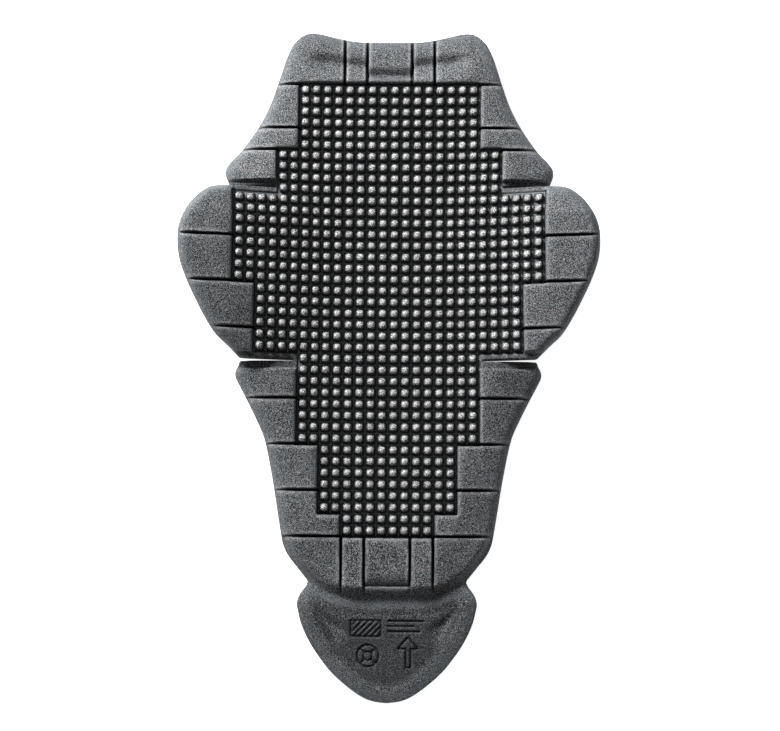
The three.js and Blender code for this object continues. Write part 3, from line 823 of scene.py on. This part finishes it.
def engraveMarks(shell):
    lowX, lowY, highX, highY = marks["box"]

    def inBox(place, margin):
        across = lowX - margin < place.x < highX + margin
        return across and lowY - margin < place.y < highY + margin

    faces = [f for f in shell.faces if f.normal.z > 0.5 and inBox(f.calc_center_median(), 0)]
    edges = dict.fromkeys(e for f in faces for e in f.edges)
    wide = [e for e in edges if e.calc_length() > marks["longestEdge"]]
    bmesh.ops.subdivide_edges(shell, edges=wide, cuts=marks["cuts"], use_grid_fill=True)
    chosen = [v for v in shell.verts
              if v.co.z > marks["underside"] and inBox(v.co, marks["margin"])]
    points = np.array([v.co[:2] for v in chosen])
    share = 1 - smooth((markDistance(*points.T) - marks["line"] / 2) / marks["soft"])
    # the engraved lines are painted near black as well, a painted shade in proportion to how deep
    # they are cut
    layer = shell.verts.layers.float["mark"]
    for v, amount in zip(chosen, share):
        v.co.z -= marks["depth"] * amount
        v[layer] = amount


def makePad():
    half, shell, normalLayer = buildHalf()
    shapeTop(shell)
    border = rollEdge(shell, normalLayer)
    closeBack(shell, border)
    bmesh.ops.remove_doubles(shell, verts=shell.verts, dist=meshLines["weld"])
    shell.to_mesh(half.data)
    shell.free()
    mirror = half.modifiers.new("Mirror", "MIRROR")
    mirror.use_mirror_merge = True
    mirror.merge_threshold = meshLines["mirrorWeld"]
    bpy.ops.object.modifier_apply(modifier=mirror.name)
    shell = bmesh.new()
    shell.from_mesh(half.data)
    engraveMarks(shell)
    bmesh.ops.recalc_face_normals(shell, faces=shell.faces)
    flat = np.array([v.co[:] for v in shell.verts])
    middleY = (outline[:, 1].max() + outline[:, 1].min()) / 2
    bent = bendPad(flat) - np.array([0, middleY, 0])
    for v, place in zip(shell.verts, bent * mm):
        v.co = place
    shell.to_mesh(half.data)
    shell.free()
    print("stage: pad shaped,", len(half.data.polygons), "faces")
    return half


# Shader maths as Python expressions
class Socket:
    def __init__(self, maker, socket):
        self.maker = maker
        self.socket = socket

    def maths(self, operation, first, second):
        return self.maker.node("ShaderNodeMath", {"operation": operation}, {0: first, 1: second})

    def __add__(self, other):
        return self.maths("ADD", self, other)

    def __mul__(self, other):
        return self.maths("MULTIPLY", self, other)

    def __rsub__(self, other):
        return self.maths("SUBTRACT", other, self)


class Material:
    def __init__(self, name):
        self.data = bpy.data.materials.new(name)
        self.data.use_nodes = True
        self.tree = self.data.node_tree
        self.shader = self.tree.nodes["Principled BSDF"]

    def node(self, kind, settings, values, output=0):
        made = self.tree.nodes.new(kind)
        for name, value in settings.items():
            if name == "stops":
                for element, position, grey in zip(made.color_ramp.elements, value, (0, 1)):
                    element.position = position
                    element.color = (grey, grey, grey, 1)
            else:
                setattr(made, name, value)
        for name, value in values.items():
            self.put(made.inputs[name], value)
        return Socket(self, made.outputs[output])

    def put(self, socket, value):
        if isinstance(value, Socket):
            self.tree.links.new(value.socket, socket)
        else:
            socket.default_value = value

    def set(self, **values):
        for name, value in values.items():
            self.put(self.shader.inputs[name.replace("_", " ")], value)

    def place(self):
        return self.node("ShaderNodeTexCoord", {}, {}, "Object")

    def noise(self, place, scale, detail, roughness=0.5):
        values = {"Vector": place, "Scale": scale, "Detail": detail, "Roughness": roughness}
        return self.node("ShaderNodeTexNoise", {}, values, "Fac")

    def ramp(self, value, stops):
        # black up to the first stop, white from the second
        return self.node("ShaderNodeValToRGB", {"stops": stops}, {"Fac": value})

    def attribute(self, name):
        return self.node("ShaderNodeAttribute", {"attribute_name": name}, {}, "Fac")

    def mix(self, factor, first, second):
        settings = {"data_type": "RGBA"}
        return self.node("ShaderNodeMix", settings, {0: factor, 6: first, 7: second}, 2)


foamLook = {
    "dark": (0.003, 0.0035, 0.004, 1),
    "warm": (0.268, 0.246, 0.246, 1),
    "cool": (0.180, 0.220, 0.243, 1),
    # mask, its colour, how much of it follows the speckle, how much shows everywhere
    "layers": [
        # painted cool sheen on the rim and the step's foot
        ("rim", (0.096, 0.108, 0.118, 1), 0, 0.35),
        # painted highlights on the blocks' edges
        ("edge", (0.40, 0.40, 0.41, 1), 0.6, 0.22),
        # painted sheen on the knob tops
        ("knobTop", (0.75, 0.74, 0.73, 1), 0.95, 0.1),
        # painted shade in the grooves, creases and dips
        ("hollow", (0.001, 0.002, 0.002, 1), 0, 0.96),
        # painted light on the groove floors between the knobs
        ("floor", (0.20, 0.22, 0.235, 1), 0.5, 0.5),
        # painted shade in the engraved marks
        ("mark", (0.001, 0.002, 0.002, 1), 0, 1),
    ],
    # noises: scale, detail, roughness
    "cloud": (40.0, 3.0, 0.5),
    "speckle": (1900.0, 1.0, 0.5),
    "grain": (3000.0, 2.0, 0.6),
    "tint": (1600.0, 1.0, 0.5),
    "cloudShare": 0.06,
    "toneStops": (0.53, 0.56),
    "tintStops": (0.42, 0.58),
    "specular": 0.3,
    "roughness": 0.62,
    "knobPolish": 0.2,
    "speckleRoughness": 0.1,
    "grainShare": 0.25,
    "bump": (0.8, 0.0005),  # strength, distance
}


def foamMaterial():
    # dark skin with pale speckles between warm and cool, partly the skin's grain and partly painted
    # glints, and over it the colours of the masks of painted sheen, highlights, light and shade
    foam = Material("moulded foam skin")
    place = foam.place()
    cloud, speckle, grain, tint = [foam.noise(place, *foamLook[name])
                                   for name in ("cloud", "speckle", "grain", "tint")]
    cloudShare, grainShare = foamLook["cloudShare"], foamLook["grainShare"]
    tone = foam.ramp(cloud * cloudShare + speckle * (1 - cloudShare), foamLook["toneStops"])
    tint = foam.ramp(tint, foamLook["tintStops"])
    skin = foam.mix(tone, foamLook["dark"], foam.mix(tint, foamLook["warm"], foamLook["cool"]))
    for mask, colour, speckled, plain in foamLook["layers"]:
        skin = foam.mix(foam.attribute(mask) * (tone * speckled + plain), skin, colour)
    polish = foam.attribute("knobTop") * foamLook["knobPolish"]
    strength, distance = foamLook["bump"]
    height = grain * grainShare + speckle * (1 - grainShare)
    values = {"Strength": strength, "Distance": distance, "Height": height}
    foam.set(Base_Color=skin, Specular_IOR_Level=foamLook["specular"])
    foam.set(Roughness=foamLook["roughness"] - polish + speckle * foamLook["speckleRoughness"])
    foam.set(Normal=foam.node("ShaderNodeBump", {}, values))
    return foam.data


floorLook = {
    "size": 9.0,
    "tints": [(0.93, 0.93, 0.93, 1), (0.95, 0.95, 0.95, 1)],
    "clouds": (3.0, 2.0),  # scale, detail
    "roughness": 0.9,
    "glow": 0.85,
}


def makeFloor():
    bpy.ops.mesh.primitive_plane_add(size=floorLook["size"], location=(0, 0, 0))
    floor = bpy.context.object
    floor.name = "floor"
    paper = Material("white paper")
    clouds = paper.noise(paper.place(), *floorLook["clouds"])
    paper.set(Base_Color=paper.mix(clouds, *floorLook["tints"]), Roughness=floorLook["roughness"])
    paper.set(Emission_Color=(1, 1, 1, 1), Emission_Strength=floorLook["glow"])
    floor.data.materials.append(paper.data)


# Studio: one soft disc light, up and to the left of the neck end, in an even pale room
studio = {
    "world": 0.22,
    "at": (-0.9, 1.15, 0.8),
    "to": (0, 0.05, 0),
    "size": 0.5,
    "power": 78,
}


def makeStudio():
    world = bpy.data.worlds.new("studio")
    bpy.context.scene.world = world
    world.use_nodes = True
    background = world.node_tree.nodes["Background"]
    background.inputs["Color"].default_value = (1, 1, 1, 1)
    background.inputs["Strength"].default_value = studio["world"]
    light = bpy.data.lights.new("key", "AREA")
    light.shape = "DISK"
    light.size = studio["size"]
    light.energy = studio["power"]
    lamp = bpy.data.objects.new("key", light)
    bpy.context.collection.objects.link(lamp)
    lamp.location = studio["at"]
    beam = Vector(studio["to"]) - Vector(studio["at"])
    lamp.rotation_euler = beam.to_track_quat("-Z", "Y").to_euler()
    bpy.context.scene.view_settings.view_transform = "Standard"


# Camera: straight over the pad, leaning 6 degrees, as the photograph has it
view = {
    "target": (0.0013, -0.0028, 0.016),
    "distance": 1.5,
    "lean": 6.17,
    "side": 0.45,
    "roll": -0.31,
    "lens": 98.95,
    "sensor": 36,
}


def makeCamera():
    camera = bpy.data.cameras.new("camera")
    camera.lens = view["lens"]
    camera.sensor_width = view["sensor"]
    eye = bpy.data.objects.new("camera", camera)
    bpy.context.collection.objects.link(eye)
    side, lean, roll = [math.radians(view[name]) for name in ("side", "lean", "roll")]
    forward = Vector((-math.tan(side), math.tan(lean), -1)).normalized()
    right = (Vector((1, 0, 0)) - forward * forward.x).normalized()
    up = right.cross(forward)
    imageX = right * math.cos(roll) - up * math.sin(roll)
    imageY = right * math.sin(roll) + up * math.cos(roll)
    axes = np.array([imageX, imageY, -forward]).T
    eye.rotation_euler = Matrix(axes.tolist()).to_euler()
    eye.location = Vector(view["target"]) - forward * view["distance"]
    bpy.context.scene.camera = eye


makeCamera()
makeStudio()
makeFloor()
print("stage: studio ready")

protector = makePad()
protector.data.materials.clear()
protector.data.materials.append(foamMaterial())
bpy.ops.object.select_all(action="DESELECT")
protector.select_set(True)
bpy.context.view_layer.objects.active = protector
bpy.ops.object.shade_smooth_by_angle(angle=math.radians(pad["smoothAngle"]))
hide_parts("protector_pad")
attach(protector, "root")
print("stage: pad finished")
